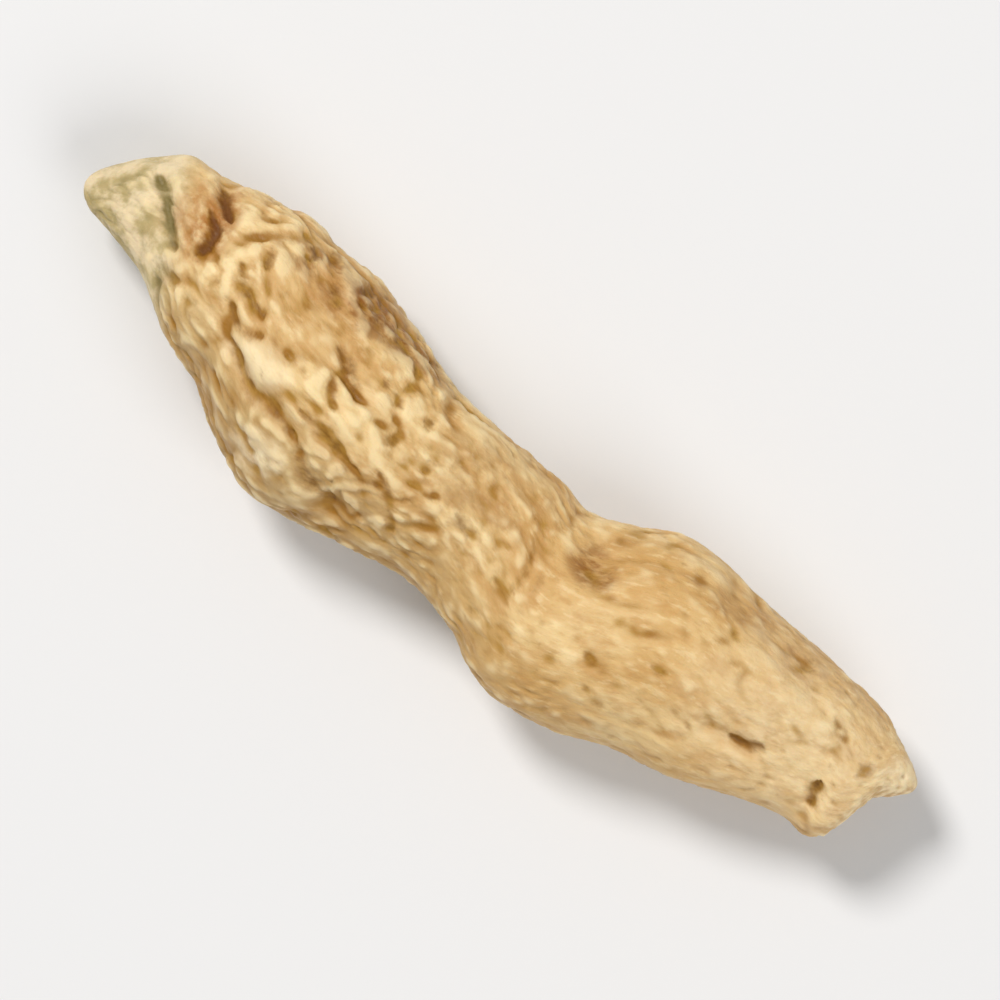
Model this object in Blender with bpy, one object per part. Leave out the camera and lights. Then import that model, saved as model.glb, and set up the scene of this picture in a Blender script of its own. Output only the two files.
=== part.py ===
"""A dried ophiopogon tuber lying on a flat surface: one solid, in one piece as it grew.

It is a bent spindle. One end is drawn out to a beak-like tip, the other is blunt and cut slanting,
and a shallow waist lies between two fuller shoulders, which carry it on the surface. Drying has
wrinkled the skin into short furrows that run along the tuber, with a few longer creases and pits.

The shape is worked out in the tuber's own terms: a share of LENGTH along it, from the tip, and
shares of WIDTH and THICKNESS across it. The row frame is in metres: +X from the tip to the blunt
end, +Z up, with the origin on the surface under the middle of the outline.
"""

import bmesh
import bpy
import numpy as np
from mathutils import Vector, noise

# Driving dimensions, in metres
LENGTH = 0.0250
WIDTH = 0.0060
THICKNESS = 0.0050
FURROW_DEPTH = 0.00019
SWELL_DEPTH = 0.00018

# Outline from above: share of LENGTH, then the far and the near edge in shares of WIDTH,
# counted from the straight line that joins the two ends
OUTLINE = (
    (0.000, 0.035, 0.035),
    (0.006, 0.098, -0.022),
    (0.020, 0.160, -0.060),
    (0.050, 0.270, -0.092),
    (0.075, 0.345, -0.118),
    (0.110, 0.364, -0.175),
    (0.150, 0.415, -0.295),
    (0.200, 0.458, -0.385),
    (0.250, 0.423, -0.520),
    (0.300, 0.399, -0.601),
    (0.360, 0.323, -0.596),
    (0.420, 0.229, -0.571),
    (0.480, 0.190, -0.550),
    (0.540, 0.148, -0.620),
    (0.590, 0.105, -0.706),
    (0.630, 0.178, -0.722),
    (0.680, 0.264, -0.680),
    (0.730, 0.264, -0.606),
    (0.790, 0.229, -0.574),
    (0.850, 0.210, -0.507),
    (0.910, 0.182, -0.428),
    (0.944, 0.147, -0.418),
    (0.956, 0.118, -0.340),
    (0.969, 0.088, -0.205),
    (0.986, 0.042, -0.128),
    (1.000, -0.030, -0.030),
)
OUTLINE_MIDDLE = -0.132

# Seen from the side: share of LENGTH, then the underside and the top in shares of THICKNESS.
# The underside dips below the surface where the shoulders are pressed flat against it.
PROFILE = (
    (0.000, 0.330, 0.330),
    (0.020, 0.245, 0.440),
    (0.050, 0.190, 0.540),
    (0.110, 0.120, 0.700),
    (0.200, 0.015, 0.920),
    (0.300, -0.078, 1.020),
    (0.420, 0.050, 0.960),
    (0.520, 0.100, 0.870),
    (0.590, 0.050, 0.880),
    (0.680, -0.045, 0.950),
    (0.790, 0.030, 0.890),
    (0.910, 0.120, 0.740),
    (0.948, 0.180, 0.680),
    (0.972, 0.260, 0.600),
    (0.988, 0.310, 0.535),
    (1.000, 0.420, 0.420),
)

# How strongly the skin has wrinkled: share of LENGTH, then a share of FURROW_DEPTH
WRINKLING = (
    (0.000, 0.15),
    (0.060, 0.30),
    (0.160, 0.90),
    (0.300, 1.00),
    (0.480, 0.80),
    (0.620, 0.50),
    (0.780, 0.38),
    (1.000, 0.30),
)

# Single creases and pits on the upper side: depth and half width in metres, then the points
# they run through, as a share of LENGTH and a share of WIDTH from the line that joins the ends
CREASES = (
    (0.00018, 0.00030, ((0.065, 0.205), (0.085, 0.120), (0.108, 0.010))),
    (0.00013, 0.00026, ((0.120, 0.330), (0.137, 0.240), (0.141, 0.100))),
    (0.00009, 0.00022, ((0.182, 0.100), (0.194, 0.034), (0.219, 0.013))),
    (0.00009, 0.00024, ((0.188, -0.050), (0.204, -0.100), (0.240, -0.072), (0.273, -0.085))),
    (0.00014, 0.00030, ((0.213, -0.180), (0.251, -0.275), (0.283, -0.290), (0.346, -0.420), (0.385, -0.490))),
    (0.00011, 0.00026, ((0.300, -0.250), (0.335, -0.280), (0.372, -0.355), (0.415, -0.455))),
    (0.00009, 0.00024, ((0.308, 0.073), (0.327, 0.034), (0.342, -0.046))),
    (0.00008, 0.00026, ((0.569, -0.145), (0.573, -0.240), (0.582, -0.320))),
    (0.00018, 0.00046, ((0.615, -0.020), (0.623, -0.045))),
    (0.00010, 0.00040, ((0.750, 0.180), (0.817, 0.124), (0.856, 0.067))),
    (0.00011, 0.00020, ((0.798, -0.320), (0.825, -0.315), (0.852, -0.286))),
    (0.00012, 0.00024, ((0.921, -0.290), (0.924, -0.340))),
)

# The slanting scar at the blunt end: its middle from the tip, from the line that joins the ends and
# above the surface, its radius, how deep its hollow is, and the direction that it faces in plan
SCAR_MIDDLE = (0.02425, -0.00130, 0.00210)
SCAR_RADIUS = 0.00120
SCAR_HOLLOW = 0.00012
SCAR_FACING = (0.88, -0.47)

# Feel of the relief, all along and around the tuber. RELIEF_START picks the stretch of noise it uses.
# The relief rises from nothing at the two ends, and its single creases from nothing at the sides.
RELIEF_START = (0.151, 0.027, -0.019)
FURROW_SPACING = 0.00125
FURROW_STRETCH = 2.4
FURROW_WANDER = 0.55
FURROW_SHARPNESS = 3.4
SWELL_SPACING = 0.0030
SWELL_STRETCH = 1.5
RISE_FROM_ENDS = 3.0
RISE_FROM_SIDES = 2.5

# Lobes of the cross-section: how many, their size, their twist along the tuber, and where they start
SECTION_LOBES = ((3, 0.035, 5.0, 0.4), (5, 0.020, -8.0, 1.9))

# Mesh
# EVENING moves the rings from the ends towards the middle, where they would lie further apart.
AROUND = 62
ALONG = 88
EVENING = 0.17


def turn_of(share):
    """The angle from the tip, 0 to pi, at which an ellipse reaches this share of its length."""
    return np.arccos(1 - 2 * np.clip(share, 0, 1))


def curve(table, column, share):
    """A smooth curve through one column of a table. Taken by angle, so that both ends round off."""
    knots = turn_of(np.array([row[0] for row in table]))
    values = np.array([row[column] for row in table])
    slopes = np.gradient(values, knots)
    turn = turn_of(share)
    cell = np.clip(np.searchsorted(knots, turn, side="right") - 1, 0, len(knots) - 2)
    width = knots[cell + 1] - knots[cell]
    t = (turn - knots[cell]) / width
    rise = 3 * t**2 - 2 * t**3
    start = t * (1 - t) ** 2 * width
    end = t**2 * (t - 1) * width
    return (
        values[cell] * (1 - rise)
        + values[cell + 1] * rise
        + slopes[cell] * start
        + slopes[cell + 1] * end
    )


def cross_section(share, angle):
    """Points of the unwrinkled skin at a share of the length and an angle round it, in metres."""
    far, near = (WIDTH * curve(OUTLINE, column, share) for column in (1, 2))
    under, top = (THICKNESS * curve(PROFILE, column, share) for column in (1, 2))
    lobes = 1.0
    for count, size, twist, phase in SECTION_LOBES:
        lobes = lobes + size * np.sin(angle) ** 2 * np.sin(count * angle + twist * share + phase)
    x = LENGTH * share
    y = (far + near) / 2 + (far - near) / 2 * np.cos(angle) * lobes
    z = (under + top) / 2 + (top - under) / 2 * np.sin(angle) * lobes
    return np.stack([x, y, z], axis=1)


def noise_at(points, spacing, stretch=1.0):
    """Smooth noise, -1 to 1, with features spacing apart, and stretched along the tuber."""
    scaled = points / np.array([spacing * stretch, spacing, spacing])
    return np.array([noise.noise(Vector(point)) for point in scaled])


def straightened(points, share):
    """The points with the tuber's bend taken out, so that what is drawn in them follows its length."""
    far, near = (WIDTH * curve(OUTLINE, column, share) for column in (1, 2))
    straight = points + RELIEF_START
    straight[:, 1] -= (far + near) / 2
    return straight


def furrows(points):
    """0 on the ridges and 1 in the bottom of furrows that meander along the tuber."""
    drift = np.stack([noise_at(points + shift, 2 * FURROW_SPACING) for shift in (0.0, 0.01, 0.02)], axis=1)
    wandering = points + FURROW_WANDER * FURROW_SPACING * drift
    sides = np.abs(noise_at(wandering, FURROW_SPACING, FURROW_STRETCH))
    return np.clip(1 - (FURROW_SHARPNESS * sides) ** 2, 0, 1) ** 2


def nearness(points, line, half_width):
    """1 on a line drawn in plan, falling smoothly to 0 at twice the half width from it."""
    spots = np.array(line) * (LENGTH, WIDTH)
    nearest = np.full(len(points), np.inf)
    for start, end in zip(spots[:-1], spots[1:]):
        run = end - start
        along = np.clip((points[:, :2] - start) @ run / (run @ run), 0, 1)
        gap = points[:, :2] - (start + along[:, None] * run)
        nearest = np.minimum(nearest, np.hypot(gap[:, 0], gap[:, 1]))
    closeness = np.clip(1 - (nearest / (2 * half_width)) ** 2, 0, 1)
    return closeness**3


def scar_hollow(points, outward):
    """1 in the middle of the scar at the blunt end, 0 at its rim and everywhere else."""
    from_middle = np.linalg.norm(points - SCAR_MIDDLE, axis=1) / SCAR_RADIUS
    facing = np.clip(3 * (outward[:, :2] @ np.array(SCAR_FACING)) - 1.5, 0, 1)
    return facing * np.clip(1 - from_middle**2, 0, 1)


def relief(points, share, outward):
    """How far the dried skin lies outside (+) or inside (-) the plain section, in metres."""
    straight = straightened(points, share)
    depth = SWELL_DEPTH * noise_at(straight, SWELL_SPACING, SWELL_STRETCH)
    depth -= FURROW_DEPTH * curve(WRINKLING, 1, share) * furrows(straight)
    facing_up = np.clip(RISE_FROM_SIDES * outward[:, 2], 0, 1)
    for deep, half_width, line in CREASES:
        depth -= deep * facing_up * nearness(points, line, half_width)
    depth *= np.clip(np.sin(turn_of(share)) * RISE_FROM_ENDS, 0, 1)
    return depth - SCAR_HOLLOW * scar_hollow(points, outward)


def tuber_mesh():
    """A sphere whose rings are moved along the tuber, then raised and sunk by the relief."""
    shape = bmesh.new()
    bmesh.ops.create_uvsphere(shape, u_segments=AROUND, v_segments=ALONG, radius=1.0)
    sphere = np.array([vertex.co for vertex in shape.verts])
    from_tip = np.arccos(np.clip(-sphere[:, 2], -1, 1))
    share = (1 - np.cos(from_tip + EVENING * np.sin(2 * from_tip))) / 2
    angle = np.arctan2(sphere[:, 1], sphere[:, 0])
    skin = cross_section(share, angle)
    for vertex, point in zip(shape.verts, skin):
        vertex.co = point
    shape.normal_update()
    outward = np.array([vertex.normal for vertex in shape.verts])
    skin += outward * relief(skin, share, outward)[:, None]
    skin[:, 2] = np.maximum(skin[:, 2], 0)
    skin -= (LENGTH / 2, WIDTH * OUTLINE_MIDDLE, 0)
    for vertex, point in zip(shape.verts, skin):
        vertex.co = point
    mesh = bpy.data.meshes.new("tuber")
    shape.to_mesh(mesh)
    shape.free()
    mesh.shade_smooth()
    return mesh


def dried_skin():
    material = bpy.data.materials.new("dried_skin")
    material.use_nodes = True
    shader = material.node_tree.nodes["Principled BSDF"]
    shader.inputs["Base Color"].default_value = (0.62, 0.43, 0.22, 1)
    shader.inputs["Roughness"].default_value = 0.62
    shader.inputs["Metallic"].default_value = 0.0
    return material


def main():
    for old in list(bpy.data.objects):
        bpy.data.objects.remove(old)
    group = bpy.data.collections.new("dried_ophiopogon_tuber")
    bpy.context.scene.collection.children.link(group)
    tuber = bpy.data.objects.new("tuber", tuber_mesh())
    tuber.data.materials.append(dried_skin())
    group.objects.link(tuber)


main()
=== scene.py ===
"""The dried ophiopogon tuber, dressed: a fine skin with its furrows, folds, pits and stains.

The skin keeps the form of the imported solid. It repeats the solid's values and formulas on a finer grid
and adds what is too small for the solid. Lengths are in metres, in the row frame. Places on the upper
side are given in millimetres as read from above: x from the tip, and y from the straight line that
joins the two ends.
"""

import math

import bmesh
import bpy
import numpy as np
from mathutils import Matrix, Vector, kdtree, noise


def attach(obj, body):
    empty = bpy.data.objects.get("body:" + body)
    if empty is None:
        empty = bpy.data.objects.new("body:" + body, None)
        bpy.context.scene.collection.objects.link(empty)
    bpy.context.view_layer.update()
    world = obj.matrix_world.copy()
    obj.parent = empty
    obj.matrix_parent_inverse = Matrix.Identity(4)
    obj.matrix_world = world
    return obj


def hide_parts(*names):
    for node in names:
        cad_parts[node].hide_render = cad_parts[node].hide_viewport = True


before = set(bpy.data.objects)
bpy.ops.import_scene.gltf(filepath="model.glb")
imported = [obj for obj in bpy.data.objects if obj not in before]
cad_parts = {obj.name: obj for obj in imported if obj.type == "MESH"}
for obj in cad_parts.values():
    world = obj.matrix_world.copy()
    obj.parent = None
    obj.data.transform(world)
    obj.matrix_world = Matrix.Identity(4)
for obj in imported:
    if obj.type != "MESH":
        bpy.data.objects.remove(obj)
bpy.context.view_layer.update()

# Driving dimensions, in metres
LENGTH = 0.0250
WIDTH = 0.0060
THICKNESS = 0.0050
FURROW_DEPTH = 0.00019
SWELL_DEPTH = 0.00018

# Outline from above: share of LENGTH, then the far and the near edge in shares of WIDTH,
# counted from the straight line that joins the two ends
OUTLINE = (
    (0.000, 0.035, 0.035),
    (0.006, 0.098, -0.022),
    (0.020, 0.160, -0.060),
    (0.050, 0.270, -0.092),
    (0.075, 0.345, -0.118),
    (0.110, 0.364, -0.175),
    (0.150, 0.415, -0.295),
    (0.200, 0.458, -0.385),
    (0.250, 0.423, -0.520),
    (0.300, 0.399, -0.601),
    (0.360, 0.323, -0.596),
    (0.420, 0.229, -0.571),
    (0.480, 0.190, -0.550),
    (0.540, 0.148, -0.620),
    (0.590, 0.105, -0.706),
    (0.630, 0.178, -0.722),
    (0.680, 0.264, -0.680),
    (0.730, 0.264, -0.606),
    (0.790, 0.229, -0.574),
    (0.850, 0.210, -0.507),
    (0.910, 0.182, -0.428),
    (0.944, 0.147, -0.418),
    (0.956, 0.118, -0.340),
    (0.969, 0.088, -0.205),
    (0.986, 0.042, -0.128),
    (1.000, -0.030, -0.030),
)
OUTLINE_MIDDLE = -0.132

# Seen from the side: share of LENGTH, then the underside and the top in shares of THICKNESS.
# The underside dips below the surface where the shoulders are pressed flat against it.
PROFILE = (
    (0.000, 0.330, 0.330),
    (0.020, 0.245, 0.440),
    (0.050, 0.190, 0.540),
    (0.110, 0.120, 0.700),
    (0.200, 0.015, 0.920),
    (0.300, -0.078, 1.020),
    (0.420, 0.050, 0.960),
    (0.520, 0.100, 0.870),
    (0.590, 0.050, 0.880),
    (0.680, -0.045, 0.950),
    (0.790, 0.030, 0.890),
    (0.910, 0.120, 0.740),
    (0.948, 0.180, 0.680),
    (0.972, 0.260, 0.600),
    (0.988, 0.310, 0.535),
    (1.000, 0.420, 0.420),
)

# How strongly the skin has wrinkled: share of LENGTH, then a share of FURROW_DEPTH
WRINKLING = (
    (0.000, 0.15),
    (0.060, 0.30),
    (0.160, 0.90),
    (0.300, 1.00),
    (0.480, 0.80),
    (0.620, 0.50),
    (0.780, 0.38),
    (1.000, 0.30),
)

# Single creases and pits on the upper side: depth and half width in metres, then the points
# they run through, as a share of LENGTH and a share of WIDTH from the line that joins the ends
CREASES = (
    (0.00018, 0.00030, ((0.065, 0.205), (0.085, 0.120), (0.108, 0.010))),
    (0.00013, 0.00026, ((0.120, 0.330), (0.137, 0.240), (0.141, 0.100))),
    (0.00009, 0.00022, ((0.182, 0.100), (0.194, 0.034), (0.219, 0.013))),
    (0.00009, 0.00024, ((0.188, -0.050), (0.204, -0.100), (0.240, -0.072), (0.273, -0.085))),
    (0.00014, 0.00030, ((0.213, -0.180), (0.251, -0.275), (0.283, -0.290), (0.346, -0.420), (0.385, -0.490))),
    (0.00011, 0.00026, ((0.300, -0.250), (0.335, -0.280), (0.372, -0.355), (0.415, -0.455))),
    (0.00009, 0.00024, ((0.308, 0.073), (0.327, 0.034), (0.342, -0.046))),
    (0.00008, 0.00026, ((0.569, -0.145), (0.573, -0.240), (0.582, -0.320))),
    (0.00018, 0.00046, ((0.615, -0.020), (0.623, -0.045))),
    (0.00010, 0.00040, ((0.750, 0.180), (0.817, 0.124), (0.856, 0.067))),
    (0.00011, 0.00020, ((0.798, -0.320), (0.825, -0.315), (0.852, -0.286))),
    (0.00012, 0.00024, ((0.921, -0.290), (0.924, -0.340))),
)

# The slanting scar at the blunt end: its middle from the tip, from the line that joins the ends and
# above the surface, its radius, how deep its hollow is, and the direction that it faces in plan
SCAR_MIDDLE = (0.02425, -0.00130, 0.00210)
SCAR_RADIUS = 0.00120
SCAR_HOLLOW = 0.00012
SCAR_FACING = (0.88, -0.47)

# Feel of the relief, all along and around the tuber. RELIEF_START picks the stretch of noise it uses.
# The relief rises from nothing at the two ends, and its single creases from nothing at the sides.
RELIEF_START = (0.151, 0.027, -0.019)
FURROW_SPACING = 0.00125
FURROW_STRETCH = 2.4
FURROW_WANDER = 0.55
FURROW_SHARPNESS = 3.4
SWELL_SPACING = 0.0030
SWELL_STRETCH = 1.5
RISE_FROM_ENDS = 3.0
RISE_FROM_SIDES = 2.5

# Lobes of the cross-section: how many, their size, their twist along the tuber, and where they start
SECTION_LOBES = ((3, 0.035, 5.0, 0.4), (5, 0.020, -8.0, 1.9))

# The finer grid
# EVENING moves the rings from the ends towards the middle, and CROWDING moves the points of each
# ring towards its top.
AROUND = 256
ALONG = 384
EVENING = 0.17
CROWDING = 0.25

# One millimetre
MM = 0.001

# Folds. They take the place of a part of the solid's furrows, of which FURROW_SHARE stays. For each
# size of fold: spacing, stretch along the tuber, sharpness of the creases between folds, depth, how
# far the depth follows WRINKLING, and the size of the gaps in the creases.
FURROW_SHARE = 0.55
FOLDS = (
    (0.00066, 1.5, 2.8, 0.000080, 1.0, 0.0016),
    (0.00040, 1.35, 2.6, 0.000070, 0.95, 0.0009),
    (0.00025, 1.3, 2.6, 0.000040, 0.7, 0.0006),
    (0.00055, 2.0, 2.8, 0.000022, 0.0, 0.0012),
    (0.00030, 2.2, 2.0, 0.000014, 0.1, 0.0014),
)
FOLDS_START = (0.041, 0.002, 0.011)
FOLDS_WANDER = 0.9

# Gaps in those creases. A higher CREASES_THERE leaves fewer of them, a higher GAP_SUDDENNESS makes
# them begin more suddenly, and GAP_START picks the stretch of noise they use. A CREASE_POWER under 1
# keeps the creases narrow.
CREASES_THERE = 0.65
GAP_SUDDENNESS = 1.9
GAP_STRETCH = 1.4
GAP_START = -0.005
CREASE_POWER = 0.7

# Finer relief all over: ripples wider than the folds, lines along the skin, and grain in two sizes
RIPPLE_SPACING = 0.0014
RIPPLE_STRETCH = 1.6
RIPPLE_DEPTH = 0.000040
STRIAE_SPACING = 0.00015
STRIAE_STRETCH = 9.0
STRIAE_DEPTH = 0.000010
GRAIN_SPACING = 0.00019
GRAIN_FINE_SPACING = 0.0001
GRAIN_FINE_SHARE = 0.6
GRAIN_DEPTH = 0.000008

# The husk, a paler and firmer skin at the tip: its slanting edge in millimetres, and its own folds
HUSK_END = 2.95
HUSK_EDGE_SLANT = 0.45
HUSK_EDGE_MIDDLE = 0.4
HUSK_EDGE_WIDTH = 0.6
HUSK_SPACING = 0.00032
HUSK_STRETCH = 2.6
HUSK_SHARPNESS = 2.2
HUSK_GAP = 0.0012
HUSK_DEPTH = 0.000055

# A smooth bump among the folds, in millimetres: the line it follows and its half width. A
# BUMP_FULLNESS over 1 widens the part that is wholly smooth.
BUMP = ((5.75, -0.90), (6.45, -1.14))
BUMP_WIDTH = 0.55
BUMP_FULLNESS = 1.8

# The share of the folds that is missing on the husk, on the bump and in the scar
HUSK_CALM = 0.4
BUMP_CALM = 0.95
SCAR_CALM = 0.8

# Pits: how many, least and most half width, greatest length in widths, depth in half widths, and darkness,
# which is painted shade in the pit.
# Each leans from the tuber's length by about PIT_LEAN radians and has at least the share PIT_FAINTEST
# of its depth. They lie thickest in places PIT_CLUSTERS apart. PIT_WAVER makes their edges uneven, as
# one of the WAVERS does for the marks.
PITS = (
    (300, 0.00005, 0.00012, 2.6, 0.35, 0.32),
    (260, 0.00012, 0.00024, 2.0, 0.12, 0.15),
)
PIT_SEED = 7
PIT_LEAN = 0.45
PIT_FAINTEST = 0.35
PIT_CLUSTERS = 0.002
PIT_WAVER = (0.00020, 0.25)

# Marks on the upper side, in millimetres: half width, depth (minus for a raised place), darkness, and
# the points that they run through. The darkness is partly the marks' own darker colour and partly
# painted shade in the sunk marks. A sunk one has a lip: LIP is its height as a share of the depth,
# and LIP_WIDTH its half width as a multiple of the mark's. MARK_END is the width of a mark at its
# ends, as a share of the width in its middle.
MARKS = (
    (0.15, 0.035, 0.35, ((1.36, 1.28), (1.62, 1.12), (1.90, 0.88))),
    (0.19, 0.070, 0.50, (
        (1.40, 1.26), (1.65, 1.10), (1.88, 0.90), (2.12, 0.60), (2.42, 0.33), (2.72, -0.05),
    )),
    (0.17, -0.04, 0.00, ((1.85, 1.42), (2.20, 1.10), (2.60, 0.65), (3.05, 0.10))),
    (0.17, 0.110, 1.00, ((2.93, 1.92), (3.20, 1.70), (3.52, 1.38))),
    (0.19, 0.090, 0.95, ((3.02, 1.24), (3.36, 1.04), (3.43, 0.70), (3.30, 0.28))),
    (0.17, 0.045, 0.30, ((2.45, -0.36), (2.88, -0.50), (3.36, -0.74))),
    (0.17, 0.035, 0.25, ((3.60, -0.62), (4.10, -0.74))),
    (0.16, 0.075, 0.55, ((4.84, 1.50), (4.98, 1.18), (5.06, 0.94))),
    (0.17, -0.04, 0.00, ((5.25, 1.45), (5.36, 1.10))),
    (0.17, 0.070, 0.55, ((4.40, 0.72), (4.68, 0.34), (5.00, 0.12), (5.60, 0.05))),
    (0.18, 0.060, 0.40, ((4.60, -0.20), (4.95, -0.50), (5.25, -0.56), (5.75, -0.46))),
    (0.14, 0.025, 0.20, ((5.60, -0.50), (6.00, -0.42), (6.90, -0.50))),
    (0.19, 0.075, 0.60, ((5.52, 1.98), (5.78, 1.84))),
    (0.17, 0.075, 0.60, ((5.96, 2.30), (6.24, 2.18))),
    (0.20, 0.090, 0.70, ((7.12, 2.18), (7.46, 2.00))),
    (0.20, 0.060, 0.50, ((6.40, 1.55), (6.95, 1.34))),
    (0.18, 0.060, 0.45, ((7.35, 1.62), (7.95, 1.42))),
    (0.17, 0.050, 0.40, ((8.30, 1.50), (8.90, 1.30))),
    (0.45, -0.05, 0.00, ((5.65, -0.90), (6.55, -1.14))),
    (0.18, 0.075, 0.50, ((5.20, -1.00), (6.28, -1.68), (7.08, -1.77), (7.95, -2.10))),
    (0.17, 0.075, 0.50, ((7.75, -2.00), (8.65, -2.54), (9.50, -2.90))),
    (0.17, 0.070, 0.50, ((7.60, -1.42), (8.40, -1.53), (9.27, -1.85), (10.20, -1.85))),
    (0.16, 0.060, 0.45, ((9.95, -1.40), (10.50, -1.90), (11.10, -2.50))),
    (0.17, 0.070, 0.55, ((7.45, 0.52), (8.10, 0.05), (8.70, -0.22))),
    (0.15, 0.055, 0.45, ((7.80, -0.20), (8.25, -0.85))),
    (0.16, 0.055, 0.45, ((8.90, 0.50), (9.50, 0.10))),
    (0.19, 0.070, 0.60, ((9.68, -0.52), (9.92, -0.64))),
    (0.19, 0.060, 0.55, ((10.18, 0.17), (10.42, 0.09))),
    (0.18, 0.050, 0.40, ((9.25, 1.15), (9.65, 1.05))),
    (0.18, 0.060, 0.45, ((10.80, -0.52), (11.00, -0.75))),
    (0.16, 0.045, 0.30, ((11.25, -1.12), (11.45, -1.25))),
    (0.30, -0.04, 0.00, ((11.10, 0.20), (11.60, 0.00))),
    (0.19, 0.050, 0.45, ((12.00, -1.15), (12.70, -1.50))),
    (0.15, 0.045, 0.30, ((14.12, -0.75), (14.25, -1.40), (14.18, -2.00))),
    (0.14, 0.035, 0.25, ((14.58, -1.10), (14.70, -1.85))),
    (0.17, 0.060, 0.40, ((15.30, -0.48), (15.62, -0.38), (15.84, -0.06))),
    (0.18, 0.045, 0.30, ((16.48, -2.15), (16.82, -2.25))),
    (0.15, 0.035, 0.25, ((17.95, -1.50), (18.40, -1.54))),
    (0.17, 0.035, 0.25, ((17.60, 1.05), (17.90, 0.95))),
    (0.15, 0.035, 0.25, ((16.90, -2.85), (17.70, -3.05))),
    (0.20, 0.035, 0.30, ((20.75, 0.85), (21.30, 0.78))),
    (0.08, 0.025, 0.25, ((19.90, -1.78), (20.55, -1.80))),
    (0.14, 0.065, 0.60, ((20.50, -1.80), (20.85, -1.86), (21.12, -1.76), (21.38, -1.56))),
    (0.19, 0.035, 0.30, ((22.30, 0.06), (22.65, -0.10), (22.95, -0.12))),
    (0.17, 0.045, 0.15, ((23.74, -0.42), (23.66, -0.76))),
    (0.16, 0.085, 0.70, ((22.94, -1.42), (22.98, -1.76), (23.06, -2.12))),
    (0.16, -0.05, 0.00, ((24.12, -0.62), (24.02, -1.15), (23.92, -1.65), (23.68, -2.30))),
)
LIP = 0.10
LIP_WIDTH = 2.2
MARK_END = 0.30

# A sunk mark is unevenly deep: spacing of the changes, mean, amount, and the least and the most
UNEVEN_SPACING = 0.00035
UNEVEN_MEAN = 0.95
UNEVEN_AMOUNT = 1.1
UNEVEN_LIMITS = (0.75, 1.10)

# Marks and tints waver: the spacing of each waver, and how far it moves them as a share of that
WAVERS = ((0.00045, 0.30), (0.00016, 0.25))

# The scar's relief: heights in millimetres, distances from its middle in shares of its radius. It
# fades out over SCAR_FADE of the tuber's length before SCAR_END.
RIM_HEIGHT = 0.050
RIM_WIDTH = 0.20
RIM_RAGGED = 0.12
FIBRE_HEIGHT = 0.045
FIBRE_SPACING = 0.00015
STUB_HEIGHT = 0.09
STUB_RADIUS = 0.15
RING_DEPTH = 0.07
RING_RADIUS = 0.26
RING_WIDTH = 0.09
SCAR_END = 0.998
SCAR_FADE = 0.012

# Tinted places on the upper side, in millimetres: middle, half size and strength
STAINS = (
    ((3.25, 1.05), (0.70, 1.20), 1.0),
    ((2.6, 1.10), (0.5, 0.80), 0.6),
    ((6.5, 1.45), (1.2, 0.50), 0.35),
)
OCHRES = (
    ((8.0, 1.75), (3.4, 0.85), 1.0),
    ((20.6, 0.85), (3.2, 0.40), 0.5),
    ((23.69, -0.58), (0.24, 0.32), 0.9),
    ((15.4, -0.30), (0.7, 0.60), 1.0),
    ((12.5, -0.60), (2.2, 1.60), 0.4),
)
# The pale places are partly the skin's own paler tone and partly painted light: at the blunt end they lighten
# skin that faces away from the lamps.
PALES = (
    ((7.3, -2.80), (0.9, 0.50), 0.9),
    ((6.1, -1.02), (1.1, 0.60), 0.7),
    ((2.1, 0.90), (0.4, 0.70), 0.4),
    ((24.5, -0.50), (0.7, 1.00), 0.9),
    ((22.0, -0.90), (3.6, 2.60), 0.4),
)

# Tints by height are painted shade in hollows and a painted highlight on ridges. They compare each place
# with the skin round it, averaged in few passes for the nearest skin and in many for the skin further
# off: passes, the height that counts as 1, and the share. The relief is evened by FIRST_PASSES before,
# and furrows count in it with FURROW_TINT of their depth.
FIRST_PASSES = 2
NEAR_PASSES = 10
NEAR_HEIGHT = 0.018 * MM
NEAR_SHARE = 0.25
FAR_PASSES = 70
FAR_HEIGHT = 0.060 * MM
FAR_SHARE = 0.45
FURROW_TINT = 0.35

# How much the solid's single creases count in the painted shade of its furrows, and the ring round
# the core that is tinted, in shares of the scar's radius
CREASE_TINT = 0.6
CORE_TINT_RADIUS = 0.24
CORE_TINT_WIDTH = 0.11

# Colours, 0 to 255 as a screen shows them
FLESH = (216, 176, 114)
FLESH_PALE = (230, 199, 143)
MOTTLE = (206, 160, 94)
MOTTLE_SMALL = (194, 146, 82)
LINE_DARK = (202, 154, 90)
LINE_PALE = (248, 224, 174)
OCHRE = (134, 82, 16)
# Painted shade for the near side of the wrinkled part, which faces away from the key light
LOW_SIDE_SHADE = (170, 136, 82)
HUSK = (178, 162, 112)
HUSK_PALE = (232, 214, 176)
# Painted highlight on raised places
RIDGE_HIGHLIGHT = (250, 228, 178)
# Partly the skin's own paler tone, partly painted light at the blunt end
PALE_PLACE = (250, 232, 192)
STAIN = (166, 100, 12)
# Painted shade: these four darken furrows, creases and other hollows
FURROW_SHADE = (182, 130, 66)
HOLLOW_SHADE = (158, 108, 26)
HOLLOW_SHADE_PALE = (174, 130, 48)
HOLLOW_SHADE_HUSK = (142, 126, 76)
# Painted shade in pits and sunk marks, mixed with the marks' own darker colour
HOLE = (116, 74, 16)
HOLE_IN_STAIN = (106, 56, 0)
HOLE_IN_HUSK = (112, 98, 50)
SCAR_DARK = (188, 146, 86)
SCAR_PALE = (246, 224, 180)
SCAR_MOTTLE = (196, 152, 90)
SCAR_CORE = (146, 98, 44)

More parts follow.
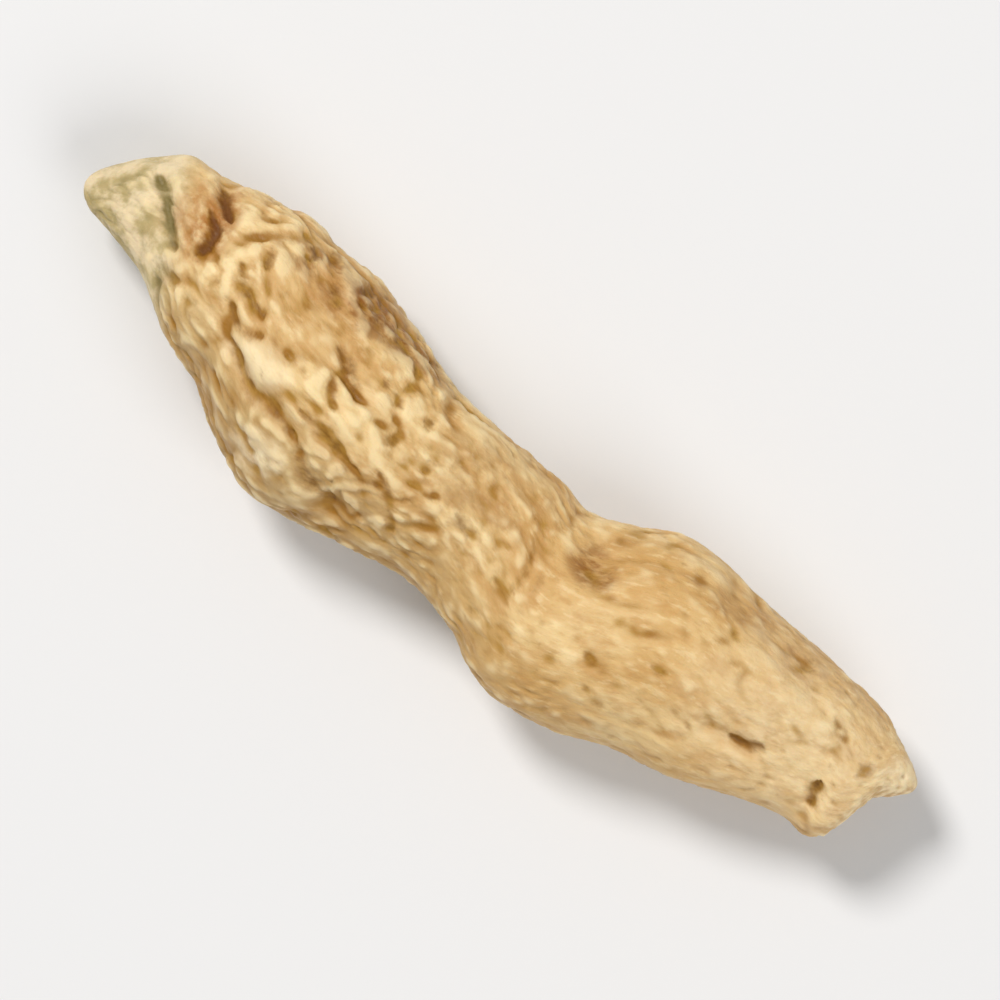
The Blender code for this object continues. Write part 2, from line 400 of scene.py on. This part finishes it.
# The view: turned as the tuber lies in the photograph. VISIBLE is the width that it takes in at
# FOCUS_HEIGHT, and MIDDLE the place it looks at, to the right of the origin and up the picture.
TURN = math.radians(35.42)
VISIBLE = 0.0242
MIDDLE = (0.00045, 0.00025)
LENS_MM = 200
SENSOR_MM = 36
FOCUS_HEIGHT = 0.0025

# How far the floor reaches from the origin
FLOOR_REACH = 0.6


def turn_of(share):
    """The angle from the tip, 0 to pi, at which an ellipse reaches this share of its length."""
    return np.arccos(1 - 2 * np.clip(share, 0, 1))


def curve(table, column, share):
    """A smooth curve through one column of a table. Taken by angle, so that both ends round off."""
    knots = turn_of(np.array([row[0] for row in table]))
    values = np.array([row[column] for row in table])
    slopes = np.gradient(values, knots)
    turn = turn_of(share)
    cell = np.clip(np.searchsorted(knots, turn, side="right") - 1, 0, len(knots) - 2)
    width = knots[cell + 1] - knots[cell]
    t = (turn - knots[cell]) / width
    rise = 3 * t**2 - 2 * t**3
    start = t * (1 - t) ** 2 * width
    end = t**2 * (t - 1) * width
    return (
        values[cell] * (1 - rise)
        + values[cell + 1] * rise
        + slopes[cell] * start
        + slopes[cell + 1] * end
    )


def cross_section(share, angle):
    """Points of the unwrinkled skin at a share of the length and an angle round it, in metres."""
    far, near = (WIDTH * curve(OUTLINE, column, share) for column in (1, 2))
    under, top = (THICKNESS * curve(PROFILE, column, share) for column in (1, 2))
    lobes = 1.0
    for count, size, twist, phase in SECTION_LOBES:
        lobes = lobes + size * np.sin(angle) ** 2 * np.sin(count * angle + twist * share + phase)
    x = LENGTH * share
    y = (far + near) / 2 + (far - near) / 2 * np.cos(angle) * lobes
    z = (under + top) / 2 + (top - under) / 2 * np.sin(angle) * lobes
    return np.stack([x, y, z], axis=1)


def straightened(points, share):
    """The points with the tuber's bend taken out, so that what is drawn in them follows its length."""
    far, near = (WIDTH * curve(OUTLINE, column, share) for column in (1, 2))
    straight = points + RELIEF_START
    straight[:, 1] -= (far + near) / 2
    return straight


def noise_at(points, spacing, stretch=1.0):
    """Smooth noise, -1 to 1, with features spacing apart, and stretched along the tuber."""
    scaled = points / np.array([spacing * stretch, spacing, spacing])
    return np.array([noise.noise(Vector(point)) for point in scaled])


def wander(points, spacing, amount):
    """The points, each moved by smooth noise, so that what is drawn through them meanders."""
    drift = np.stack([noise_at(points + shift, 2 * spacing) for shift in (0.0, 0.01, 0.02)], axis=1)
    return points + amount * spacing * drift


def furrows(points):
    """0 on the ridges and 1 in the bottom of furrows that meander along the tuber."""
    sides = np.abs(noise_at(wander(points, FURROW_SPACING, FURROW_WANDER), FURROW_SPACING, FURROW_STRETCH))
    return np.clip(1 - (FURROW_SHARPNESS * sides) ** 2, 0, 1) ** 2


def folds(points, spacing, stretch, sharpness, gap):
    """1 in short narrow creases and 0 on the rounded folds between them."""
    sides = np.abs(noise_at(wander(points, spacing, FOLDS_WANDER), spacing, stretch))
    there = CREASES_THERE + GAP_SUDDENNESS * noise_at(points + GAP_START, gap, GAP_STRETCH)
    return np.clip(there, 0, 1) * (1 - np.clip(sharpness * sides, 0, 1) ** CREASE_POWER)


def distance_to_line(points, line):
    """In plan: how far each point is from a line of straight runs, and how far along the line, 0 to 1."""
    runs = np.diff(line, axis=0)
    lengths = np.linalg.norm(runs, axis=1)
    nearest = np.full(len(points), np.inf)
    place = np.zeros(len(points))
    passed = 0.0
    for start, run, length in zip(line[:-1], runs, lengths):
        along = np.clip((points[:, :2] - start) @ run / (run @ run), 0, 1)
        gap = points[:, :2] - (start + along[:, None] * run)
        distance = np.hypot(gap[:, 0], gap[:, 1])
        place = np.where(distance < nearest, (passed + along * length) / lengths.sum(), place)
        nearest = np.minimum(nearest, distance)
        passed += length
    return nearest, place


def nearness(points, line, half_width):
    """1 on a line drawn in plan, falling smoothly to 0 at twice the half width from it."""
    nearest, _ = distance_to_line(points, line)
    return np.clip(1 - (nearest / (2 * half_width)) ** 2, 0, 1) ** 3


def stroke(points, line, half_width):
    """Like nearness, with a line that narrows towards both its ends."""
    nearest, place = distance_to_line(points, line)
    reach = 2 * half_width * (MARK_END + (1 - MARK_END) * np.sqrt(4 * place * (1 - place)))
    return np.clip(1 - (nearest / reach) ** 2, 0, 1) ** 3


def patches(points, places):
    """1 in the middle of oval places on the upper side, falling to 0 at their edges."""
    tint = np.zeros(len(points))
    for middle, size, strength in places:
        across = (points[:, 0] / MM - middle[0]) / size[0]
        up = (points[:, 1] / MM - middle[1]) / size[1]
        tint = np.maximum(tint, strength * np.clip(1 - across**2 - up**2, 0, 1) ** 0.7)
    return tint


def scar_place(points, outward):
    """For the scar at the blunt end: how much a point faces its way, how far out and at what angle it is."""
    facing = np.clip(3 * (outward[:, :2] @ np.array(SCAR_FACING)) - 1.5, 0, 1)
    from_middle = points - SCAR_MIDDLE
    sideways = from_middle @ np.array((-SCAR_FACING[1], SCAR_FACING[0], 0))
    away = np.linalg.norm(from_middle, axis=1) / SCAR_RADIUS
    return facing, away, np.arctan2(from_middle[:, 2], sideways)


def skin_grid():
    """Rings of points from end to end: the share of the length and the angle of each, and the faces."""
    from_tip = np.linspace(0, math.pi, ALONG + 1)[1:-1]
    shares = (1 - np.cos(from_tip + EVENING * np.sin(2 * from_tip))) / 2
    share = np.concatenate([[0.0], np.repeat(shares, AROUND), [1.0]])
    turns = np.arange(AROUND) * 2 * math.pi / AROUND
    angle = np.concatenate([[0.0], np.tile(turns + CROWDING * np.cos(turns), len(shares)), [0.0]])
    column = np.arange(AROUND)
    beside = (column + 1) % AROUND
    faces = [(0, 1 + b, 1 + a) for a, b in zip(column, beside)]
    for ring in range(len(shares) - 1):
        start = 1 + ring * AROUND
        beyond = start + AROUND
        faces += [(start + a, start + b, beyond + b, beyond + a) for a, b in zip(column, beside)]
    start = 1 + (len(shares) - 1) * AROUND
    last = len(share) - 1
    faces += [(last, start + a, start + b) for a, b in zip(column, beside)]
    return share, angle, faces


def evened(values, passes):
    """The values, averaged with their neighbours along and around the tuber, once for each pass."""
    rings = values[1:-1].reshape(-1, AROUND)
    for _ in range(passes):
        rings = (np.roll(rings, 1, 1) + 2 * rings + np.roll(rings, -1, 1)) / 4
        padded = np.pad(rings, ((1, 1), (0, 0)), "edge")
        rings = (padded[:-2] + 2 * rings + padded[2:]) / 4
    return np.concatenate([values[:1], rings.ravel(), values[-1:]])


def directions(mesh):
    """The direction that each point of the mesh faces."""
    outward = np.empty(len(mesh.vertices) * 3)
    mesh.vertex_normals.foreach_get("vector", outward)
    return outward.reshape(-1, 3)


class PlainSkin:
    """The skin before it dried: its mesh and, for each point, what the relief and the colours need.

    share is how far along the tuber a point lies, outward the way it faces, up 1 on the upper side,
    taper 0 at both ends, straight its place with the bend taken out, plan its place with a waver,
    facing 1 and away 0 in the middle of the scar, and husk 1 in the husk.
    """

    def __init__(self):
        self.share, angle, faces = skin_grid()
        self.points = cross_section(self.share, angle)
        self.mesh = bpy.data.meshes.new("tuber_skin")
        self.mesh.from_pydata(self.points, [], faces)
        self.mesh.update()
        self.outward = directions(self.mesh)
        self.up = np.clip(RISE_FROM_SIDES * self.outward[:, 2], 0, 1)
        self.taper = np.clip(np.sin(turn_of(self.share)) * RISE_FROM_ENDS, 0, 1)
        self.wrinkling = curve(WRINKLING, 1, self.share)
        self.straight = straightened(self.points, self.share)
        self.plan = self.points
        for spacing, amount in WAVERS:
            self.plan = wander(self.plan, spacing, amount)
        self.facing, self.away, self.round_scar = scar_place(self.points, self.outward)
        slant = HUSK_EDGE_SLANT * (self.points[:, 1] - HUSK_EDGE_MIDDLE * MM)
        self.husk = np.clip((HUSK_END * MM - self.points[:, 0] - slant) / (HUSK_EDGE_WIDTH * MM), 0, 1)


def solid_relief(skin):
    """The relief that the solid has too, and masks of its furrows and of its single creases."""
    height = SWELL_DEPTH * noise_at(skin.straight, SWELL_SPACING, SWELL_STRETCH)
    furrow = skin.wrinkling * furrows(skin.straight)
    height -= FURROW_SHARE * FURROW_DEPTH * furrow
    crease = np.zeros(len(height))
    for deep, half_width, line in CREASES:
        near = skin.up * nearness(skin.points, np.array(line) * (LENGTH, WIDTH), half_width)
        height -= deep * near
        crease = np.maximum(crease, near)
    in_scar = skin.facing * np.clip(1 - skin.away**2, 0, 1)
    return height * skin.taper - SCAR_HOLLOW * in_scar, furrow, crease


def fine_relief(skin):
    """Ripples, folds, lines and grain. The folds spare the husk in part, the bump and the scar."""
    near_bump = nearness(skin.points, np.array(BUMP) * MM, BUMP_WIDTH * MM)
    bump = skin.up * np.clip(BUMP_FULLNESS * near_bump, 0, 1)
    calm = (1 - HUSK_CALM * skin.husk) * (1 - BUMP_CALM * bump)
    calm *= 1 - SCAR_CALM * skin.facing * np.clip(1.2 - skin.away, 0, 1)
    height = RIPPLE_DEPTH * noise_at(skin.straight, RIPPLE_SPACING, RIPPLE_STRETCH)
    for spacing, stretch, sharpness, deep, follows, gap in FOLDS:
        strength = 1 - follows + follows * skin.wrinkling
        creases = folds(skin.straight + FOLDS_START, spacing, stretch, sharpness, gap)
        height -= deep * strength * calm * creases
    husk_creases = folds(skin.straight, HUSK_SPACING, HUSK_STRETCH, HUSK_SHARPNESS, HUSK_GAP)
    height -= HUSK_DEPTH * skin.husk * husk_creases
    height += STRIAE_DEPTH * noise_at(skin.straight, STRIAE_SPACING, STRIAE_STRETCH)
    grain = noise_at(skin.straight, GRAIN_SPACING)
    grain += GRAIN_FINE_SHARE * noise_at(skin.straight, GRAIN_FINE_SPACING)
    return height + GRAIN_DEPTH * grain


def single_marks(skin):
    """The height of the marks, the sunk ones with a lip beside them, and how dark they make the skin, partly
    as painted shade.
    """
    uneven = UNEVEN_MEAN + UNEVEN_AMOUNT * noise_at(skin.straight, UNEVEN_SPACING)
    uneven = uneven.clip(*UNEVEN_LIMITS)
    height = np.zeros(len(uneven))
    dark = np.zeros(len(uneven))
    for half_width, deep, darkness, places in MARKS:
        line = np.array(places) * MM
        near = skin.up * stroke(skin.plan, line, half_width * MM)
        if deep > 0:
            wide = skin.up * stroke(skin.plan, line, LIP_WIDTH * half_width * MM)
            near = near * uneven
            height += LIP * deep * MM * np.clip(wide - near, 0, 1)
        height -= deep * MM * near
        dark = np.maximum(dark, darkness * near)
    return height, dark


def pits(skin):
    """Small elongated pits, strewn most thickly where the skin is wrinkled: their depth and their painted
    shade.
    """
    places = wander(skin.straight, *PIT_WAVER)
    weight = (0.30 + skin.wrinkling) * (0.6 + noise_at(skin.straight, PIT_CLUSTERS)).clip(0.05, 1.5)
    weight = weight * (1 - 0.9 * skin.husk) * (1 - skin.facing)
    tree = kdtree.KDTree(len(places))
    for index, point in enumerate(places):
        tree.insert(point, index)
    tree.balance()
    rng = np.random.default_rng(PIT_SEED)
    depth = np.zeros(len(places))
    shade = np.zeros(len(places))
    for count, least, most, longest, hollow, darkness in PITS:
        for centre in rng.choice(len(places), count, p=weight / weight.sum()):
            half_width = least + (most - least) * rng.random() ** 2
            half_length = half_width * rng.uniform(1.0, longest)
            amount = rng.uniform(PIT_FAINTEST, 1.0)
            lean = rng.normal(0, PIT_LEAN)
            along = np.array((math.cos(lean), math.sin(lean), 0.3 * math.sin(lean)))
            found = tree.find_range(Vector(places[centre]), 2.2 * half_length)
            which = np.array([index for _, index, _ in found])
            gap = places[which] - places[centre]
            run = gap @ along
            side = np.linalg.norm(gap - run[:, None] * along, axis=1)
            closeness = np.clip(1 - ((run / half_length) ** 2 + (side / half_width) ** 2) / 4, 0, 1) ** 3
            depth[which] = np.maximum(depth[which], half_width * hollow * amount * closeness)
            shade[which] = np.maximum(shade[which], darkness * amount * closeness)
    return depth, shade


def scar_relief(skin):
    """The scar's ragged rim, its fibres, and the stub of the core in a ring-shaped hollow."""
    ragged = np.stack([np.cos(skin.round_scar), np.sin(skin.round_scar), 0.5 * skin.away], axis=1)
    fibres = 0.8 * noise_at(ragged, 0.20) + 0.7 * noise_at(skin.points, FIBRE_SPACING)
    rim = skin.facing * np.exp(-(((skin.away - 1.0 - RIM_RAGGED * fibres) / RIM_WIDTH) ** 2))
    stub = skin.facing * np.exp(-((skin.away / STUB_RADIUS) ** 4))
    ring = skin.facing * np.exp(-(((skin.away - RING_RADIUS) / RING_WIDTH) ** 2))
    within = skin.facing * np.clip(skin.away * 2, 0, 1) * np.clip(1.3 - skin.away, 0, 1)
    height = RIM_HEIGHT * rim * (0.5 + fibres) + FIBRE_HEIGHT * fibres * within
    height += STUB_HEIGHT * stub - RING_DEPTH * ring
    before_end = np.clip((SCAR_END - skin.share) / SCAR_FADE, 0, 1)
    return MM * before_end * height, fibres


def hollows_and_ridges(relief):
    """How much lower (+) or higher (-) each place is than the skin round it, for painted shade in hollows and
    a painted highlight on ridges. 1 is a full tint.
    """
    relief = evened(relief, FIRST_PASSES)
    near = (evened(relief, NEAR_PASSES) - relief) / NEAR_HEIGHT
    far = (evened(relief, FAR_PASSES) - relief) / FAR_HEIGHT
    return NEAR_SHARE * near + FAR_SHARE * far


def tuber_skin():
    """The skin as a mesh that takes the solid's place, with masks for its colours."""
    skin = PlainSkin()
    form, furrow, crease = solid_relief(skin)
    mark_height, mark_dark = single_marks(skin)
    pit_depth, pit_shade = pits(skin)
    scar_height, fibres = scar_relief(skin)
    fine = (fine_relief(skin) + mark_height - pit_depth) * skin.taper + scar_height
    points = skin.points + skin.outward * (form + fine)[:, None]
    points[:, 2] = np.maximum(points[:, 2], 0)
    points -= (LENGTH / 2, WIDTH * OUTLINE_MIDDLE, 0)
    mesh = skin.mesh
    mesh.vertices.foreach_set("co", points.ravel())
    mesh.update()
    mesh.shade_smooth()

    cave = hollows_and_ridges(fine - FURROW_DEPTH * FURROW_TINT * furrow * skin.taper)
    # Of these masks, the hollows, furrows and near side carry painted shade, the ridges a painted highlight,
    # and the pits and marks painted shade with their own darker colour; the pale places are partly painted
    # light.
    masks = {
        "hollow": cave,
        "ridge": -cave,
        "furrow": furrow + CREASE_TINT * crease,
        "pit": np.maximum(pit_shade, mark_dark),
        "stain": skin.up * patches(skin.plan, STAINS),
        "ochre": skin.up * patches(skin.plan, OCHRES),
        "pale": skin.up * patches(skin.plan, PALES),
        "scar": skin.facing * np.clip(1.35 - skin.away, 0, 0.4) / 0.4,
        "fibre": 0.5 + 0.8 * fibres,
        "core": skin.facing * np.exp(-(((skin.away - CORE_TINT_RADIUS) / CORE_TINT_WIDTH) ** 2)),
        "husk": skin.husk,
        # Painted shade on the near side of the wrinkled part
        "low_side_shade": np.clip((-skin.outward[:, 1] - 0.15) * 2, 0, 1) * np.clip(skin.wrinkling - 0.3, 0, 1),
    }
    for name, values in masks.items():
        mesh.attributes.new(name, "FLOAT", "POINT").data.foreach_set("value", np.clip(values, 0, 1))
    grain = mesh.attributes.new("grain", "FLOAT_VECTOR", "POINT")
    grain.data.foreach_set("vector", (skin.straight / MM).ravel())

    tuber = bpy.data.objects.new("tuber_skin", mesh)
    bpy.context.scene.collection.objects.link(tuber)
    mesh.materials.append(skin_material())
    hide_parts("tuber")
    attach(tuber, "root")


class Paint:
    """Short names for the nodes that a material here is made of."""

    def __init__(self, name):
        self.material = bpy.data.materials.new(name)
        self.material.use_nodes = True
        self.nodes = self.material.node_tree.nodes
        self.links = self.material.node_tree.links
        self.shader = self.nodes["Principled BSDF"]

    def feed(self, socket, value):
        if isinstance(value, bpy.types.NodeSocket):
            self.links.new(value, socket)
        else:
            socket.default_value = value

    def mask(self, name):
        node = self.nodes.new("ShaderNodeAttribute")
        node.attribute_name = name
        return node.outputs["Fac"]

    def place(self, stretch):
        """The straightened place in millimetres, squeezed lengthwise so that noise in it is stretched."""
        node = self.nodes.new("ShaderNodeAttribute")
        node.attribute_name = "grain"
        scale = self.nodes.new("ShaderNodeVectorMath")
        scale.operation = "MULTIPLY"
        self.feed(scale.inputs[0], node.outputs["Vector"])
        scale.inputs[1].default_value = (1 / stretch, 1, 1)
        return scale.outputs[0]

    def noise(self, size, stretch=1.0, detail=2.0, rough=0.5):
        """Noise, 0 to 1, with features of this size in millimetres."""
        node = self.nodes.new("ShaderNodeTexNoise")
        node.inputs["Scale"].default_value = 1 / size
        node.inputs["Detail"].default_value = detail
        node.inputs["Roughness"].default_value = rough
        self.feed(node.inputs["Vector"], self.place(stretch))
        return node.outputs["Fac"]

    def ramp(self, value, low, high, low_to=0.0, high_to=1.0):
        """The value, spread smoothly from low_to to high_to as it goes from low to high."""
        node = self.nodes.new("ShaderNodeMapRange")
        node.interpolation_type = "SMOOTHSTEP"
        self.feed(node.inputs["Value"], value)
        for name, number in zip(("From Min", "From Max", "To Min", "To Max"), (low, high, low_to, high_to)):
            node.inputs[name].default_value = number
        return node.outputs["Result"]

    def math(self, operation, a, b):
        node = self.nodes.new("ShaderNodeMath")
        node.operation = operation
        self.feed(node.inputs[0], a)
        self.feed(node.inputs[1], b)
        return node.outputs[0]

    def times(self, a, b):
        return self.math("MULTIPLY", a, b)

    def mix(self, factor, a, b):
        """Colour a where the factor is 0 and colour b where it is 1."""
        node = self.nodes.new("ShaderNodeMix")
        node.data_type = "RGBA"
        self.feed(node.inputs[0], factor)
        # A mix node for colours takes them at its inputs 6 and 7 and gives one at its output 2.
        for socket, colour in ((node.inputs[6], a), (node.inputs[7], b)):
            self.feed(socket, linear(colour) if isinstance(colour, tuple) else colour)
        return node.outputs[2]


def linear(colour):
    """A colour given in 0 to 255 as a screen shows it, in the shader's own linear values."""
    shares = [value / 255 for value in colour]
    return tuple((c / 12.92 if c < 0.04045 else ((c + 0.055) / 1.055) ** 2.4) for c in shares) + (1.0,)


def skin_colour(p):
    """The skin's colour, laid on in layers: flesh, tints by place, painted shade and highlight by height,
    marks darkened partly with painted shade, and the scar.
    """
    fine_lines = p.noise(0.18, 3.0, 3.0, 0.6)
    colour = p.mix(p.ramp(p.noise(2.8, 1.6), 0.36, 0.62), FLESH, FLESH_PALE)
    colour = p.mix(p.ramp(p.noise(1.3, 2.0, 4.0), 0.50, 0.68, 0, 0.55), colour, MOTTLE)
    colour = p.mix(p.ramp(p.noise(0.42, 2.0, 4.0), 0.48, 0.64, 0, 0.50), colour, MOTTLE_SMALL)
    colour = p.mix(p.ramp(fine_lines, 0.52, 0.68, 0, 0.35), colour, LINE_DARK)
    colour = p.mix(p.ramp(fine_lines, 0.46, 0.32, 0, 0.35), colour, LINE_PALE)

    ochre = p.times(p.mask("ochre"), p.ramp(p.noise(0.45, 1.6, 4.0, 0.6), 0.38, 0.60, 0.15, 1.0))
    colour = p.mix(ochre, colour, OCHRE)
    # Painted shade on the near side of the wrinkled part, which faces away from the key light
    colour = p.mix(p.times(p.mask("low_side_shade"), 0.9), colour, LOW_SIDE_SHADE)
    husk = p.mix(p.ramp(p.noise(0.75, 1.0, 4.0, 0.6), 0.38, 0.62), HUSK, HUSK_PALE)
    colour = p.mix(p.times(p.mask("husk"), 0.90), colour, husk)
    # Painted highlight: paler where the skin stands higher than round it, less so in the ochre places
    painted_highlight = p.ramp(p.mask("ridge"), 0.05, 0.55, 0, 0.65)
    ridge = p.times(painted_highlight, p.ramp(p.mask("ochre"), 0.1, 0.8, 1.0, 0.60))
    colour = p.mix(ridge, colour, RIDGE_HIGHLIGHT)
    # Pale places, at the blunt end partly painted light
    pale = p.times(p.mask("pale"), p.ramp(p.noise(0.30, 1.4, 3.0, 0.6), 0.36, 0.60, 1.0, 0.55))
    colour = p.mix(pale, colour, PALE_PLACE)
    stain = p.times(p.mask("stain"), p.ramp(p.noise(0.40, 1.0, 4.0, 0.6), 0.36, 0.60, 0.30, 0.95))
    colour = p.mix(stain, colour, STAIN)

    # Painted shade: darker in furrows and creases, and more so in hollows
    colour = p.mix(p.ramp(p.mask("furrow"), 0.1, 1.0, 0, 0.20), colour, FURROW_SHADE)
    hollow_shade = p.mix(p.ramp(p.noise(0.9, 1.2, 2.0), 0.40, 0.60), HOLLOW_SHADE, HOLLOW_SHADE_PALE)
    hollow_shade = p.mix(p.mask("husk"), hollow_shade, HOLLOW_SHADE_HUSK)
    colour = p.mix(p.ramp(p.mask("hollow"), 0.01, 0.66, 0, 0.94), colour, hollow_shade)

    break_up = p.ramp(p.noise(0.14, 1.8, 4.0, 0.6), 0.25, 0.75, -0.20, 0.20)

    def with_broken_edge(mask, low, high, most):
        """A mask spread from its low to its high value, with noise added where it isn't 0."""
        return p.ramp(p.math("ADD", mask, p.times(break_up, p.ramp(mask, 0.0, 0.15))), low, high, 0, most)

    # Painted shade in pits and sunk marks, mixed with the marks' own darker colour
    hole = p.mix(p.mask("stain"), HOLE, HOLE_IN_STAIN)
    hole = p.mix(p.mask("husk"), hole, HOLE_IN_HUSK)
    colour = p.mix(with_broken_edge(p.mask("pit"), 0.05, 1.0, 0.90), colour, hole)
    scar = p.mix(p.ramp(p.mask("fibre"), 0.15, 0.85), SCAR_DARK, SCAR_PALE)
    scar = p.mix(p.ramp(p.noise(0.12, 1.0, 4.0, 0.6), 0.50, 0.64, 0, 0.5), scar, SCAR_MOTTLE)
    scar = p.mix(p.times(p.mask("core"), 0.85), scar, SCAR_CORE)
    return p.mix(with_broken_edge(p.mask("scar"), 0.25, 0.9, 0.70), colour, scar)


def skin_material():
    p = Paint("dried_skin_fine")
    p.feed(p.shader.inputs["Base Color"], skin_colour(p))
    p.shader.inputs["Specular IOR Level"].default_value = 0.35
    p.shader.inputs["Subsurface Weight"].default_value = 0.12
    p.shader.inputs["Subsurface Radius"].default_value = (1.0, 0.5, 0.2)
    p.shader.inputs["Subsurface Scale"].default_value = 0.0003
    p.feed(p.shader.inputs["Roughness"], p.ramp(p.noise(0.35, 1.5, 4.0), 0.35, 0.65, 0.44, 0.66))
    bump = p.nodes.new("ShaderNodeBump")
    bump.inputs["Strength"].default_value = 0.75
    bump.inputs["Distance"].default_value = 0.00006
    p.feed(bump.inputs["Height"], p.mix(0.5, p.noise(0.10, 5.0, 4.0, 0.6), p.noise(0.10, 1.2, 4.0, 0.6)))
    p.links.new(bump.outputs["Normal"], p.shader.inputs["Normal"])
    return p.material


def on_screen(right, up, height):
    """A place given as the picture sees it: to the right, up the picture, and towards the viewer."""
    return (
        right * math.cos(TURN) - up * math.sin(TURN),
        right * math.sin(TURN) + up * math.cos(TURN),
        height,
    )


def softbox(name, place, size, power, colour):
    """A round area light that faces the origin."""
    light = bpy.data.lights.new(name, "AREA")
    light.shape = "DISK"
    light.size = size
    light.energy = power
    light.color = colour
    lamp = bpy.data.objects.new(name, light)
    lamp.location = place
    lamp.rotation_euler = (-Vector(place)).to_track_quat("-Z", "Y").to_euler()
    bpy.context.scene.collection.objects.link(lamp)


def pale_floor():
    """The ground under the tuber, which is there for the picture alone."""
    shape = bmesh.new()
    bmesh.ops.create_grid(shape, x_segments=1, y_segments=1, size=FLOOR_REACH)
    mesh = bpy.data.meshes.new("floor")
    shape.to_mesh(mesh)
    shape.free()
    floor = bpy.data.objects.new("floor", mesh)
    bpy.context.scene.collection.objects.link(floor)
    pale = Paint("pale_floor")
    pale.shader.inputs["Base Color"].default_value = (0.79, 0.80, 0.82, 1)
    pale.shader.inputs["Roughness"].default_value = 0.9
    mesh.materials.append(pale.material)


def lights():
    """A pale surround, a key light from the upper left and a wider, weaker fill opposite it."""
    world = bpy.data.worlds.new("pale_studio")
    world.use_nodes = True
    world.node_tree.nodes["Background"].inputs["Color"].default_value = (1.0, 0.985, 0.96, 1)
    world.node_tree.nodes["Background"].inputs["Strength"].default_value = 0.31
    bpy.context.scene.world = world
    softbox("key", on_screen(-0.16, 0.24, 0.38), size=0.14, power=1.60, colour=(1.0, 0.97, 0.93))
    softbox("fill", on_screen(0.20, -0.26, 0.32), size=0.30, power=0.82, colour=(1.0, 0.985, 0.96))


def camera():
    """Looks straight down, from as far as the lens needs to take in VISIBLE."""
    data = bpy.data.cameras.new("camera")
    data.lens = LENS_MM
    data.sensor_width = SENSOR_MM
    data.clip_start = 0.001
    viewer = bpy.data.objects.new("camera", data)
    viewer.location = on_screen(*MIDDLE, FOCUS_HEIGHT + VISIBLE * LENS_MM / SENSOR_MM)
    viewer.rotation_euler = (0, 0, TURN)
    bpy.context.scene.collection.objects.link(viewer)
    bpy.context.scene.camera = viewer
    bpy.context.scene.view_settings.view_transform = "Standard"


tuber_skin()
pale_floor()
lights()
camera()
